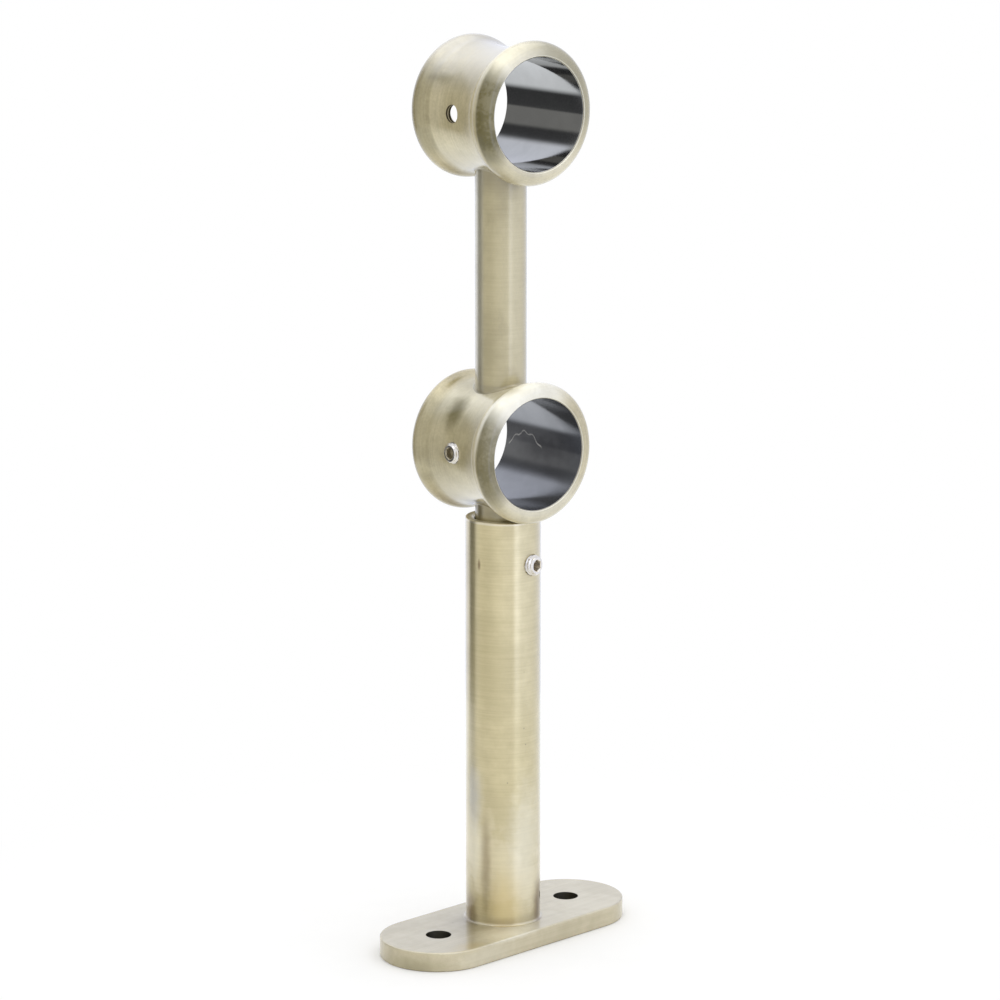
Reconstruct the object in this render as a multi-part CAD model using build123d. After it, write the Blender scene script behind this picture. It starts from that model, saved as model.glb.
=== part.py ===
from build123d import *
import os
from math import acos, asin, atan2, degrees, hypot, sin

# Double curtain pole bracket. The wall plate lies on Z = 0 with its long side on X and its centre at the
# origin, and the tube stands on it along +Z. The pole rings are carried by a rod that slides in the tube.
# All sizes are in millimetres.

# Wall plate
plate_length = 71.6
plate_width = 27.7
plate_thickness = 4.7
plate_edge_round = 0.35
fixing_hole_dia = 6.0
fixing_hole_spacing = 43.4

# Tube on the plate
tube_wall = 2.15
tube_length = 99.1
tube_mouth_round = 0.35
tube_mouth_lead = 0.7
tube_foot_braze = 0.6

# Rod that slides in the tube, and rod between the rings. The play is what the tube's bore has over the rod.
rod_dia = 12.2
rod_play = 1.5
rod_running_gap = 0.05
rod_floor_gap = 11.0
rod_end_chamfer = 0.6
rod_braze = 0.6

# Pole rings, which are turned spools with a straight bore and a slightly hollow waist
ring_bore_dia = 26.5
ring_wall = 1.4
ring_bead_height = 2.17
ring_bead_round = 3.6
ring_cove_round = 5.0
ring_waist_round = 40.0
ring_length = 28.4
ring_bore_chamfer = 0.3
lower_lip_round = 2.5
upper_lip_round = 3.1
ring_spacing = 79.7
ring_above_tube = 0.08
carrier_turn = -5.5

# Set screws with a hexagon socket
screw_dia = 5.0
screw_fit = 0.05
screw_chamfer = 0.45
socket_across_flats = 2.5
socket_wall = 0.5
cup_point_dia = 2.4
cup_point_depth = 0.6
tube_screw_length = 5.0
tube_screw_below_mouth = 10.7
tube_screw_turn = 6.0
ring_screw_length = 2.3
screw_tip_gap = 0.05

# Radii and heights that follow from the sizes above
rod_radius = rod_dia / 2
tube_bore_radius = rod_radius + rod_play / 2
tube_radius = tube_bore_radius + tube_wall
tube_top = plate_thickness + tube_length
bore_radius = ring_bore_dia / 2
waist_radius = bore_radius + ring_wall
lower_ring_height = tube_top + ring_above_tube + waist_radius + ring_bead_height
upper_ring_height = lower_ring_height + ring_spacing
tapped_hole_radius = screw_dia / 2 + screw_fit

# The tube's set screw pushes the rod against the far side of the tube's bore, so the rod and the rings stand
# off the tube's axis, away from the screw. The rings are also turned a little in the tube. Both turns are in
# degrees about Z: the screw's is counted from -Y, and the rings' from facing along -Y.
rod_offset = tube_bore_radius - rod_radius - rod_running_gap
carrier_place = Rot(Z=tube_screw_turn) * Pos(0, rod_offset, 0) * Rot(Z=carrier_turn - tube_screw_turn)


def base_plate():
    """Obround plate with rounded edges and two plain holes for the fixing screws."""
    outline = SlotOverall(plate_length, plate_width)
    plate = extrude(outline, plate_thickness)
    rims = plate.faces().filter_by(Axis.Z).edges()
    plate = fillet(rims, plate_edge_round)
    holes = Sketch() + GridLocations(fixing_hole_spacing, 0, 2, 1) * Circle(fixing_hole_dia / 2)
    return plate - extrude(holes, plate_thickness)


def outer_tube():
    """Tube with a lead-in at its mouth, a fillet of braze round its foot and one tapped hole."""
    with BuildSketch(Plane.XZ) as section:
        with BuildLine():
            bore = Line((tube_bore_radius, 0), (tube_bore_radius, tube_length))
            mouth = Line(bore @ 1, (tube_radius, tube_length))
            side = Line(mouth @ 1, (tube_radius, tube_foot_braze))
            braze = JernArc(side @ 1, side % 1, tube_foot_braze, 90)
            Line(braze @ 1, bore @ 0)
        make_face()
        fillet(section.vertices().group_by(Axis.Y)[-1].sort_by(Axis.X)[-1], tube_mouth_round)
        chamfer(section.vertices().group_by(Axis.Y)[-1].sort_by(Axis.X)[0], tube_mouth_lead)
    tube = Pos(0, 0, plate_thickness) * revolve(section.sketch, Axis.Z)
    hole = Cylinder(tapped_hole_radius, tube_radius, align=(Align.CENTER, Align.CENTER, Align.MIN))
    return tube - tube_screw_place(0) * hole


def spool(lip_round, height):
    """Solid spool along Y: a hollow waist, a cove and a round bead at each end, and a rounded lip.

    The cove's centre lies at one distance from the waist's centre and at another from the bead's, so that its
    arc meets both without a corner. That triangle gives the waist's slope where the cove starts, and the slope
    where the cove turns into the bead.
    """
    crest = ring_length / 2 - lip_round
    to_waist = ring_waist_round - ring_cove_round
    to_bead = ring_cove_round + ring_bead_round
    depth = ring_waist_round - ring_bead_height + ring_bead_round
    span = hypot(depth, crest)
    waist_slope = atan2(crest, depth) - acos((to_waist**2 + span**2 - to_bead**2) / (2 * to_waist * span))
    slope = asin((crest - to_waist * sin(waist_slope)) / to_bead)
    with BuildSketch() as section:
        with BuildLine():
            waist = JernArc((waist_radius, 0), (0, 1), ring_waist_round, -degrees(waist_slope))
            cove = JernArc(waist @ 1, waist % 1, ring_cove_round, -degrees(slope - waist_slope))
            bead = JernArc(cove @ 1, cove % 1, ring_bead_round, degrees(slope))
            lip = JernArc(bead @ 1, bead % 1, lip_round, 90)
            end = Line(lip @ 1, (0, ring_length / 2))
            axis = Line(end @ 1, (0, 0))
            Line(axis @ 1, waist @ 0)
        make_face()
        mirror(about=Plane.XZ)
    return Pos(0, 0, height) * revolve(section.sketch, Axis.Y)


def ring(lip_round, height):
    """Spool with a straight bore, chamfered at both ends, and a tapped hole through its -X side."""
    with BuildSketch() as section:
        with BuildLine():
            Polyline(
                (0, 0),
                (bore_radius, 0),
                (bore_radius, ring_length / 2 - ring_bore_chamfer),
                (bore_radius + ring_bore_chamfer, ring_length / 2),
                (0, ring_length / 2),
                close=True,
            )
        make_face()
        mirror(about=Plane.XZ)
    bore = Pos(0, 0, height) * revolve(section.sketch, Axis.Y)
    reach = waist_radius + ring_bead_height
    hole = Cylinder(tapped_hole_radius, reach, align=(Align.CENTER, Align.CENTER, Align.MIN))
    return spool(lip_round, height) - bore - ring_screw_place(0, height) * hole


def brazed_rod(low, high, spools):
    """Round bar from one height to the other, coped to each spool, with a fillet of braze round the seat."""
    bar = Pos(0, 0, low) * Cylinder(rod_radius, high - low, align=(Align.CENTER, Align.CENTER, Align.MIN))
    for seat in spools:
        joined = bar + seat
        joined = fillet(new_edges(bar, seat, combined=joined), rod_braze)
        bar = joined - seat
    return bar


def slide_rod():
    """Rod under the lower ring, with a chamfer round its lower end."""
    foot = plate_thickness + rod_floor_gap
    rod = brazed_rod(foot, lower_ring_height, [spool(lower_lip_round, lower_ring_height)])
    return chamfer(rod.edges().group_by(Axis.Z)[0], rod_end_chamfer)


def upper_rod():
    """Rod between the two rings."""
    lower = spool(lower_lip_round, lower_ring_height)
    upper = spool(upper_lip_round, upper_ring_height)
    return brazed_rod(lower_ring_height, upper_ring_height, [lower, upper])


def set_screw(length):
    """Set screw along Z with its socket face at Z = 0, a hexagon socket and a cup point at its tip."""
    body = Cylinder(screw_dia / 2, length, align=(Align.CENTER, Align.CENTER, Align.MAX))
    body = chamfer(body.edges().filter_by(GeomType.CIRCLE), screw_chamfer)
    hexagon = RegularPolygon(socket_across_flats / 2, 6, major_radius=False)
    socket = extrude(hexagon, -(length - cup_point_depth - socket_wall))
    cup = Cone(cup_point_dia / 2, 0, cup_point_depth, align=(Align.CENTER, Align.CENTER, Align.MIN))
    return body - socket - Pos(0, 0, -length) * cup


def tube_screw_place(distance):
    """Place on the axis of the tube's tapped hole, facing out of it, this far from the tube's axis."""
    height = tube_top - tube_screw_below_mouth
    return Rot(Z=tube_screw_turn) * Location(Plane((0, -distance, height), (1, 0, 0), (0, -1, 0)))


def ring_screw_place(distance, height):
    """Place on the axis of a ring's tapped hole, facing out of it, this far from the rod's axis."""
    return Location(Plane((-distance, 0, height), (0, 1, 0), (-1, 0, 0)))


def tube_set_screw():
    """Screw whose tip stops at the rod in the tube."""
    rod_face = rod_radius - rod_offset
    return tube_screw_place(rod_face + screw_tip_gap + tube_screw_length) * set_screw(tube_screw_length)


def ring_set_screw():
    """Screw in the lower ring, backed out until its tip clears the bore."""
    face = bore_radius + screw_tip_gap + ring_screw_length
    return ring_screw_place(face, lower_ring_height) * set_screw(ring_screw_length)


nodes = {
    "base_plate": base_plate(),
    "outer_tube": outer_tube(),
    "slide_rod": carrier_place * slide_rod(),
    "lower_ring": carrier_place * ring(lower_lip_round, lower_ring_height),
    "upper_rod": carrier_place * upper_rod(),
    "upper_ring": carrier_place * ring(upper_lip_round, upper_ring_height),
    "tube_set_screw": tube_set_screw(),
    "ring_set_screw": carrier_place * ring_set_screw(),
}

os.makedirs("parts", exist_ok=True)
for name, solid in nodes.items():
    export_step(solid, f"parts/{name}.step")
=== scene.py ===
"""Looks for the double curtain pole bracket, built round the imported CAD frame.

Every length here is in millimetres and in the frame of the CAD: the wall plate lies on Z = 0 and the tube stands on
it along +Z. Only meshes, lamps and the camera are written in metres. New pieces are surfaces worked out as whole
arrays: a closed profile is carried round an axis, and each formula is given in words where it is used.
"""

import logging
from dataclasses import dataclass, field, replace
from enum import Enum
from functools import cached_property, reduce

import bpy
import numpy as np
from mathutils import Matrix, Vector


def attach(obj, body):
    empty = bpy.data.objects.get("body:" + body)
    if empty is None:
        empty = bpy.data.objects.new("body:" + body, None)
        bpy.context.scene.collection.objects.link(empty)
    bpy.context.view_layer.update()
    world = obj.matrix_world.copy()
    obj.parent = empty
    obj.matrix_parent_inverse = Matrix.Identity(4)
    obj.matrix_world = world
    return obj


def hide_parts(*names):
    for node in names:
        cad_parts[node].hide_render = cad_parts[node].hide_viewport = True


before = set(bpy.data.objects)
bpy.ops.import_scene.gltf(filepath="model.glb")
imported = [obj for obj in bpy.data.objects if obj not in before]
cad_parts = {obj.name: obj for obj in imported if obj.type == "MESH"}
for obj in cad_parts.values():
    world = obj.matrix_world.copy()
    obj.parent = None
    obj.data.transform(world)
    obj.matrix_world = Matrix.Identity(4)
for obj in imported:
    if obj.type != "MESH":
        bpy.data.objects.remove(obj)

LOG = logging.getLogger("bracket")
MM = 0.001
FULL_TURN = 2 * np.pi

Colour = tuple[float, float, float]
Triple = tuple[float, float, float]
Socket = bpy.types.NodeSocket
Value = Socket | float | tuple[float, ...]
Tree = bpy.types.NodeTree
Material = bpy.types.Material

UP: Triple = (0.0, 0.0, 1.0)
DOWN: Triple = (0.0, 0.0, -1.0)
WHITE: Colour = (1.0, 1.0, 1.0)


class Body(Enum):
    """The CAD bodies that new pieces ride on."""

    CARRIER = "pole_carrier"
    TUBE_SCREW = "tube_screw"
    RING_SCREW = "ring_screw"


class Slot(Enum):
    """The record's material slots."""

    BRASS = "antique_brass"
    STEEL = "bright_steel"


class Grain(Enum):
    """How the brush ran over a piece."""

    ROUND = "in rings round the piece's own axis"
    STRAIGHT = "in straight lines along X"


# Places that the CAD gives


def turned(degrees: float) -> tuple[np.ndarray, np.ndarray]:
    """Unit X and Y directions after a turn about Z, counted from +X towards +Y."""
    c, s = np.cos(np.radians(degrees)), np.sin(np.radians(degrees))
    return np.array([c, s, 0.0]), np.array([-s, c, 0.0])


@dataclass(frozen=True)
class Layout:
    """Heights, radii and directions of the bracket, as the CAD has them."""

    plate_top: float = 4.7
    tube_top: float = 103.8
    tube_bore: float = 6.85
    lower_ring: float = 120.7
    upper_ring: float = 200.4
    bore: float = 13.25
    waist: float = 14.65
    waist_round: float = 40.0
    fixing_hole: float = 3.0
    fixing_holes_apart: float = 43.4
    thread_pitch: float = 0.8
    carrier_turn: float = -5.5
    carrier_x: float = -0.0732
    carrier_y: float = 0.6962
    tube_screw_turn: float = 6.0
    tube_screw_height: float = 93.1
    tube_screw_face: float = 10.45
    ring_screw_face: float = 15.6

    def carrier(self, height: float) -> Triple:
        """The point on the carrier's axis at this height."""
        return (self.carrier_x, self.carrier_y, height)

    def ring_axis(self) -> Triple:
        """The direction of both pole bores, from front to back."""
        return tuple(float(c) for c in turned(self.carrier_turn)[1])

    def left(self) -> Triple:
        """The direction out of the rings on the side of their tapped holes."""
        return tuple(float(-c) for c in turned(self.carrier_turn)[0])


LAYOUT = Layout()


@dataclass(frozen=True)
class Stand:
    """A place with an outward direction, on which a turned piece is built.

    Args:
        point: Where the piece's face is.
        out: Unit direction out of the object.
        side: Unit direction across it, from which angles are counted.
    """

    point: np.ndarray
    out: np.ndarray
    side: np.ndarray

    def place(self, radius: np.ndarray, angle: np.ndarray, along: np.ndarray) -> np.ndarray:
        """Points from cylinder coordinates on this stand.

        The point is the stand's own, plus along times out, plus radius times the side direction turned by angle
        about out.

        Args:
            radius: Distances from the stand's axis.
            angle: Angles about it, in radians.
            along: Distances outwards along it.

        Returns:
            An array of points with the common shape of the inputs and a last axis of three.
        """
        radius, angle, along = (a[..., None] for a in np.broadcast_arrays(radius, angle, along))
        across = np.cross(self.out, self.side)
        return self.point + along * self.out + radius * (np.cos(angle) * self.side + np.sin(angle) * across)


def ring_stand(distance: float, height: float) -> Stand:
    """The stand on the axis of a ring's tapped hole, this far from the carrier's axis."""
    x, y = turned(LAYOUT.carrier_turn)
    return Stand(np.array(LAYOUT.carrier(height)) - distance * x, -x, y)


def tube_stand(distance: float) -> Stand:
    """The stand on the axis of the tube's tapped hole, this far from the tube's axis."""
    x, y = turned(LAYOUT.tube_screw_turn)
    return Stand(np.array([0.0, 0.0, LAYOUT.tube_screw_height]) - distance * y, -y, x)


# Meshes


def grid_faces(rows: int, columns: int, closed_rows: bool) -> np.ndarray:
    """Corner numbers of the quads of a grid that closes on itself along its columns.

    Args:
        rows: Number of rows.
        columns: Number of points in a row.
        closed_rows: Whether the last row joins the first too.

    Returns:
        One row of four corner numbers for each quad.
    """
    number = np.arange(rows * columns).reshape(rows, columns)
    low = number if closed_rows else number[:-1]
    high = np.roll(number, -1, axis=0) if closed_rows else number[1:]
    return np.stack([low, np.roll(low, -1, axis=1), np.roll(high, -1, axis=1), high], axis=-1).reshape(-1, 4)


def fan(ring: np.ndarray, middle: int) -> list[list[int]]:
    """Corner numbers of the triangles from each side of a ring of corners to a corner in its middle."""
    return np.stack([ring, np.roll(ring, -1), np.full(len(ring), middle)], axis=-1).tolist()


def capped_grid(grid: np.ndarray, start: np.ndarray, end: np.ndarray) -> tuple[np.ndarray, list[list[int]]]:
    """Points and faces of a grid of rings, closed by a fan to one point at each end.

    Args:
        grid: Rows of ring points, with a last axis of three.
        start: The point that closes the first row.
        end: The point that closes the last row.

    Returns:
        All points, and the corner numbers of every face.
    """
    rows, columns = grid.shape[:2]
    quads = grid_faces(rows, columns, closed_rows=False).tolist()
    first, count = np.arange(columns), rows * columns
    caps = fan(first[::-1], count) + fan(first + count - columns, count + 1)
    return np.vstack([grid.reshape(-1, 3), start, end]), quads + caps


def mesh_piece(
    name: str,
    points: np.ndarray,
    faces: list[list[int]],
    materials: list[Material],
    second: tuple[slice, ...] = (),
    smooth_angle: float = 35.0,
) -> bpy.types.Object:
    """A mesh object at the origin with its place in its points, shaded smooth up to an angle.

    Args:
        name: The piece's name.
        points: Its points, one row each.
        faces: Corner numbers of each face, turning left as seen from outside.
        materials: Its one or two finishes.
        second: Which faces have the second finish.
        smooth_angle: Edges sharper than this, in degrees, stay crisp.

    Returns:
        The new object.
    """
    mesh = bpy.data.meshes.new(name)
    mesh.from_pydata((points * MM).tolist(), [], faces)
    mesh.validate()
    index = np.zeros(len(mesh.polygons), dtype=np.int32)
    for part in second:
        index[part] = 1
    for material in materials:
        mesh.materials.append(material)
    mesh.polygons.foreach_set("material_index", index)
    mesh.polygons.foreach_set("use_smooth", np.ones(len(mesh.polygons), dtype=bool))
    mesh.set_sharp_from_angle(angle=float(np.radians(smooth_angle)))
    mesh.update()
    piece = bpy.data.objects.new(name, mesh)
    bpy.context.scene.collection.objects.link(piece)
    return piece


# Shader nodes


class Graph:
    """Short calls that add nodes to one tree and join them. A value is an output, a number or a tuple."""

    def __init__(self, tree: Tree) -> None:
        """Keeps the node tree to write into."""
        self.tree = tree

    def feed(self, socket: Socket, value: Value) -> None:
        """Joins an output to an input, or writes a number, direction or colour on it.

        Args:
            socket: The input.
            value: What it gets.
        """
        if isinstance(value, bpy.types.NodeSocket):
            self.tree.links.new(value, socket)
        else:
            socket.default_value = (*value, 1.0) if socket.type == "RGBA" else value

    def fill(self, node: bpy.types.Node, values: dict | tuple) -> None:
        """Feeds a node's inputs by name, by number or in order."""
        for key, value in values.items() if isinstance(values, dict) else enumerate(values):
            self.feed(node.inputs[key], value)

    def node(self, kind: str, values: dict | tuple = (), **settings: object) -> bpy.types.Node:
        """Adds a node.

        Args:
            kind: Its type.
            values: What its inputs get, by name, by number or in order.
            settings: Its properties.

        Returns:
            The node.
        """
        made = self.tree.nodes.new(kind)
        for name, setting in settings.items():
            setattr(made, name, setting)
        self.fill(made, values)
        return made

    def math(self, operation: str, *values: Value, clamp: bool = False) -> Socket:
        """The result of a Math node, held between 0 and 1 if clamp is set."""
        return self.node("ShaderNodeMath", values, operation=operation, use_clamp=clamp).outputs[0]

    def times(self, *values: Value) -> Socket:
        """The product of some values."""
        return reduce(lambda first, second: self.math("MULTIPLY", first, second), values)

    def plus(self, first: Value, second: Value) -> Socket:
        """The sum of two values."""
        return self.math("ADD", first, second)

    def minus(self, first: Value, second: Value) -> Socket:
        """The first value less the second."""
        return self.math("SUBTRACT", first, second)

    def vector(self, operation: str, *values: Value) -> Socket:
        """Adds a Vector Math node.

        Args:
            operation: What it does.
            values: Its inputs, in order.

        Returns:
            The result: a vector, or for DOT_PRODUCT and LENGTH a value.
        """
        keyed = {0: values[0], "Scale": values[1]} if operation == "SCALE" else values
        made = self.node("ShaderNodeVectorMath", keyed, operation=operation)
        return made.outputs["Value" if operation in ("DOT_PRODUCT", "LENGTH") else "Vector"]

    def parts(self, vector: Value) -> tuple[Socket, ...]:
        """The three parts of a vector."""
        return tuple(self.node("ShaderNodeSeparateXYZ", (vector,)).outputs)

    # A Mix node has inputs and an output for each type of value, which only their numbers tell apart.

    def blend(self, factor: Value, first: Value, second: Value, how: str = "MIX") -> Socket:
        """Two colours mixed by a factor."""
        values = {0: factor, 6: first, 7: second}
        return self.node("ShaderNodeMix", values, data_type="RGBA", blend_type=how).outputs[2]

    def between(self, factor: Value, first: Value, second: Value) -> Socket:
        """Two values mixed by a factor."""
        return self.node("ShaderNodeMix", {0: factor, 2: first, 3: second}, data_type="FLOAT").outputs[0]

    def lay(self, colour: Value, tint: Value, *shares: Value) -> Socket:
        """A colour with a tint laid over it by the product of these shares."""
        return self.blend(self.times(*shares), colour, tint)

    def ramp(self, value: Value, low: Value, high: Value, start: float = 0.0, end: float = 1.0) -> Socket:
        """A value carried smoothly from the range low to high onto the range start to end, and held beyond it."""
        values = (value, low, high, start, end)
        return self.node("ShaderNodeMapRange", values, interpolation_type="SMOOTHSTEP").outputs[0]

    def noise(self, place: Value, scale: float = 1.0, detail: float = 2.0, **fourth: Value) -> Socket:
        """A noise value, mostly from 0.3 to 0.7, at this place, which may have a fourth coordinate W."""
        values = {"Vector": place, "Scale": scale, "Detail": detail, **fourth}
        return self.node("ShaderNodeTexNoise", values, noise_dimensions="4D" if fourth else "3D").outputs[0]

    def place(self) -> Socket:
        """Object coordinates in millimetres."""
        return self.vector("SCALE", self.node("ShaderNodeTexCoord").outputs["Object"], 1 / MM)

    def use(self, group: Tree, **values: Value) -> bpy.types.bpy_prop_collection:
        """The outputs of a shared effect whose inputs are fed by name."""
        return self.node("ShaderNodeGroup", values, node_tree=group).outputs

    def bump(self, shader: bpy.types.Node, height: Value, strength: float, depth: float) -> None:
        """Joins a relief to a shader's normal: its height, how much of it shows, and how deep a height of 1 is."""
        made = self.node("ShaderNodeBump", {"Height": height, "Strength": strength, "Distance": depth * MM})
        self.feed(shader.inputs["Normal"], made.outputs[0])


class GroupGraph(Graph):
    """The inside of a new shader group, whose inputs are read from take."""

    KINDS = {"VALUE": "NodeSocketFloat", "VECTOR": "NodeSocketVector", "RGBA": "NodeSocketColor"}

    def __init__(self, name: str, floats: str, vectors: str = "") -> None:
        """Starts the group with its inputs.

        Args:
            name: The group's name.
            floats: Names of its inputs that are values.
            vectors: Names of its inputs that are vectors.
        """
        super().__init__(bpy.data.node_groups.new(name, "ShaderNodeTree"))
        for kind, labels in (("VALUE", floats), ("VECTOR", vectors)):
            for label in labels.split():
                self.tree.interface.new_socket(label, in_out="INPUT", socket_type=self.KINDS[kind])
        self.take = self.node("NodeGroupInput").outputs

    def give(self, **values: Socket) -> Tree:
        """Finishes the group.

        Args:
            values: Its outputs, by name.

        Returns:
            The group.
        """
        for name, value in values.items():
            self.tree.interface.new_socket(name, in_out="OUTPUT", socket_type=self.KINDS[value.type])
        self.node("NodeGroupOutput", values)
        return self.tree


class Groups:
    """The effects that more than one material uses, each built once, when it is first used. Lengths are in mm."""

    NOISE_SPAN = (0.36, 0.64)

    @cached_property
    def turned_place(self) -> Tree:
        """Distance along an axis, distance from it and unit direction from it.

        The point less the centre is split into its part along the axis, by a dot product, and the rest.
        """
        g = GroupGraph("turned place", "", "Place Centre Axis")
        point = g.vector("SUBTRACT", g.take["Place"], g.take["Centre"])
        along = g.vector("DOT_PRODUCT", point, g.take["Axis"])
        rest = g.vector("SUBTRACT", point, g.vector("SCALE", g.take["Axis"], along))
        return g.give(Along=along, Radius=g.vector("LENGTH", rest), Out=g.vector("NORMALIZE", rest))

    @cached_property
    def brush_lines(self) -> Tree:
        """Fine lines that a brush leaves: noise stretched along the stroke and tight across it.

        Slow is a vector that changes little along a stroke. Across and Deep are millimetres across it on two
        kinds of face, so that a line keeps its width over a bead. Density is lines per millimetre.
        """
        g = GroupGraph("brush lines", "Across Deep Density", "Slow Axis")
        broad_scale, broad_share = 0.22, 0.45
        across, deep = (g.times(g.take[name], g.take["Density"]) for name in ("Across", "Deep"))
        place = g.vector("ADD", g.take["Slow"], g.vector("SCALE", g.take["Axis"], across))
        broad = g.noise(g.vector("SCALE", place, broad_scale), detail=1.0, W=g.times(deep, broad_scale))
        fine = g.noise(place, W=deep)
        return g.give(Streaks=g.plus(g.times(broad, broad_share), g.times(fine, 1 - broad_share)), Fine=fine)

    @cached_property
    def clouds(self) -> Tree:
        """Slow uneven toning, as two sizes of soft cloud added together."""
        g = GroupGraph("toning clouds", "Size", "Place")
        finer, share = 5.3, 0.3
        place = g.vector("SCALE", g.take["Place"], g.math("DIVIDE", 1.0, g.take["Size"]))
        wide, small = g.noise(place, detail=3.0), g.noise(g.vector("SCALE", place, finer))
        return g.give(Cloud=g.ramp(g.plus(g.times(wide, 1 - share), g.times(small, share)), *self.NOISE_SPAN))

    @cached_property
    def pits(self) -> Tree:
        """Small scattered marks: 1 within Size of a Share of the cells' centres, and 0 elsewhere."""
        g = GroupGraph("pits", "Spacing Size Share", "Place")
        place = g.vector("SCALE", g.take["Place"], g.math("DIVIDE", 1.0, g.take["Spacing"]))
        cells = g.node("ShaderNodeTexVoronoi", {"Vector": place, "Scale": 1.0}, feature="F1").outputs
        near = g.math("SUBTRACT", 1.0, g.math("DIVIDE", cells["Distance"], g.take["Size"]), clamp=True)
        chosen = g.math("LESS_THAN", g.parts(cells["Color"])[0], g.take["Share"])
        return g.give(Pit=g.times(g.math("POWER", near, 0.6), chosen))

    @cached_property
    def band(self) -> Tree:
        """1 between Low and High and 0 beyond them, with edges as soft as Soft."""
        g = GroupGraph("band", "Value Low High Soft")
        value, low, high, soft = (g.take[name] for name in ("Value", "Low", "High", "Soft"))
        rise = g.ramp(value, g.minus(low, soft), low)
        return g.give(Mask=g.times(rise, g.ramp(value, high, g.plus(high, soft), 1.0, 0.0)))

    @cached_property
    def smudge(self) -> Tree:
        """A soft spot: 1 at Centre, falling to 0 at a reach that may differ along X, Y and Z.

        Its edge is ragged, because a noise is added to the distance, which is counted in reaches.
        """
        g = GroupGraph("smudge", "Ragged", "Place Centre Reach")
        waves_per_mm, solid = 0.5, 0.1
        away = g.vector("DIVIDE", g.vector("SUBTRACT", g.take["Place"], g.take["Centre"]), g.take["Reach"])
        rough = g.times(g.minus(g.noise(g.take["Place"], waves_per_mm, 3.0), 0.5), g.take["Ragged"])
        return g.give(Mask=g.ramp(g.plus(g.vector("LENGTH", away), rough), solid, 1.0, 1.0, 0.0))


EFFECTS = Groups()


# Finishes


def new_material(name: str) -> tuple[Material, Graph, bpy.types.Node]:
    """A material with only a Principled shader joined to its output.

    Args:
        name: Its name.

    Returns:
        The material, its graph and its shader.
    """
    material = bpy.data.materials.new(name)
    material.use_nodes = True
    material.node_tree.nodes.clear()
    g = Graph(material.node_tree)
    shader = g.node("ShaderNodeBsdfPrincipled")
    g.node("ShaderNodeOutputMaterial", {"Surface": shader.outputs[0]})
    return material, g, shader


@dataclass(frozen=True)
class AgedBrass:
    """Brass that was darkened, brushed back until the high places were pale, and lacquered.

    Args:
        relieved: Colour where the brush took the dark skin off.
        toned: Colour where some of it is left.
        stain: Colour of the dark skin in corners and by the braze, and of the painted shade where a rod meets a ring.
        painted_shade: Colour of the painted shade on the dark sides of the beads and waists.
        oxide: Colour of the skin in a bore that was never brushed.
        lines: Brush lines per millimetre.
        cloud_size: Size of the slow toning.
        fleck_size: Size of the flecks in a patch.
        sand_per_mm: Grains of the sandy mottle per millimetre.
        mottle: Share of the toning that is that mottle.
        roughness: Roughness in the middle of its range.
        anisotropy: How much the brush lines stretch a highlight.
        lacquer_index: Refractive index of the clear coat.
        lacquer_roughness: Roughness of the clear coat.
        bore_roughness: Roughness of the skin in a bore, which has no lacquer.
        relief: Depth of the brush lines.
        relief_shown: How much of that depth shows.
    """

    relieved: Colour = (0.625, 0.537, 0.30)
    toned: Colour = (0.48, 0.41, 0.215)
    stain: Colour = (0.20, 0.17, 0.105)
    # painted shade: a dark olive laid on the dark sides of the rings' beads and waists
    painted_shade: Colour = (0.115, 0.09, 0.006)
    oxide: Colour = (0.39, 0.388, 0.37)
    lines: float = 8.0
    cloud_size: float = 16.0
    fleck_size: float = 4.5
    sand_per_mm: float = 1.7
    mottle: float = 0.05
    roughness: float = 0.36
    anisotropy: float = 0.82
    lacquer_index: float = 1.6
    lacquer_roughness: float = 0.15
    bore_roughness: float = 0.09
    relief: float = 0.03
    relief_shown: float = 0.22


# Colours that a place may have besides those of its finish
# PALE and OLIVE also serve as painted highlights, painted reflections and painted shade on the rings and the upper rod
PALE: Colour = (0.83, 0.80, 0.655)
POLISHED: Colour = (0.86, 0.80, 0.66)
# used for rubbed marks on the plate, and as painted highlight on a ring and round the bores' edges
RUBBED_AND_HIGHLIGHT: Colour = (0.91, 0.87, 0.71)
SCRATCHED: Colour = (0.95, 0.93, 0.86)
ASHEN: Colour = (0.52, 0.52, 0.51)
# painted reflection: a neutral grey on the upper ring's tops, for the bright ceiling
PAINTED_REFLECTION_GREY: Colour = (0.545, 0.52, 0.455)
GOLDEN: Colour = (0.60, 0.47, 0.20)
OLIVE: Colour = (0.34, 0.30, 0.17)
HEAT_BROWN: Colour = (0.19, 0.125, 0.045)
SPECK: Colour = (0.16, 0.16, 0.17)
HOLE_WALL_DARK: Colour = (0.07, 0.063, 0.045)
BORE_SHADE: Colour = (0.08, 0.08, 0.085)


@dataclass(frozen=True)
class Band:
    """A stretch of a turned piece, all round it, that is stained or rubbed bright.

    Args:
        low: Where it starts along the axis.
        high: Where it ends.
        soft: How softly its ends fade.
        strength: How much of it shows.
    """

    low: float
    high: float
    soft: float
    strength: float


@dataclass(frozen=True)
class Patch:
    """A stretch of a turned piece, on one side of it, painted in another colour: a painted highlight, painted
    reflection or painted shade on that side.

    Args:
        low: Where it starts along the axis.
        high: Where it ends.
        out: The side of the piece that it lies on.
        colour: Its colour.
        strength: How much of that colour shows.
        soft: How softly its ends fade.
        reach: The cosine of the angle from that side at which it ends.
        full: The cosine of the angle from that side up to which it is whole.
    """

    low: float
    high: float
    out: Triple
    colour: Colour
    strength: float
    soft: float = 0.9
    reach: float = 0.62
    full: float = 0.93


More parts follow.
